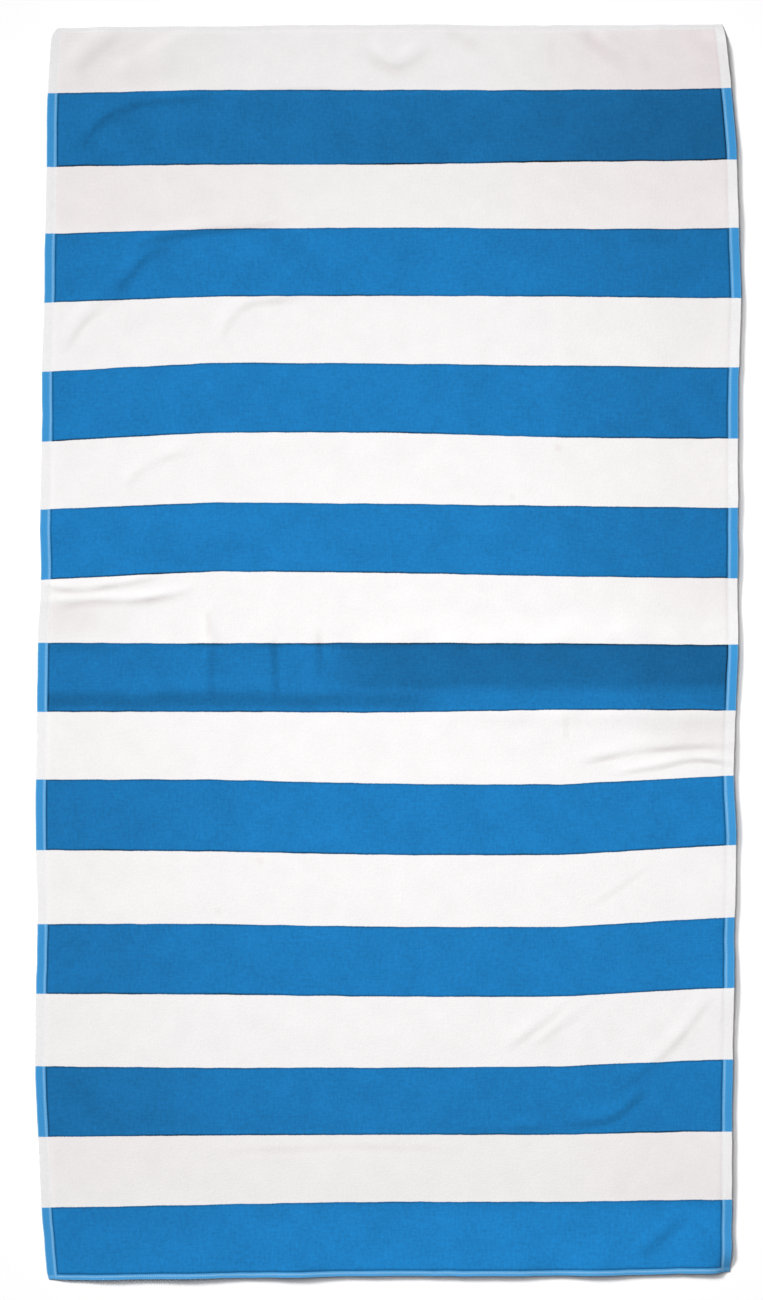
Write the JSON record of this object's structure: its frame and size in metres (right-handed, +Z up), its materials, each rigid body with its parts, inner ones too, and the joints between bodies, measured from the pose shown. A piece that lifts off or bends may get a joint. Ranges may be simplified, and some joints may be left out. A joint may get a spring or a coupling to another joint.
{
  "type": "beach towel",
  "caption": "Large rectangular cotton beach towel with wide cross stripes, a sheared pile face and flat woven side hems, lying open with soft creases.",
  "frame": {"origin": "on the ground, under the middle of the towel's outline", "axes": "+Y along the towel's length to the end with the white stripe, +X across its width to the right, +Z up from the ground"},
  "size_m": [1.016, 1.808, 0.011],
  "materials": {
    "striped_terry": "matte cotton pile, sheared on the upper face"
  },
  "bodies": {
    "root": {"towel": "striped_terry"}
  },
  "joints": []
}
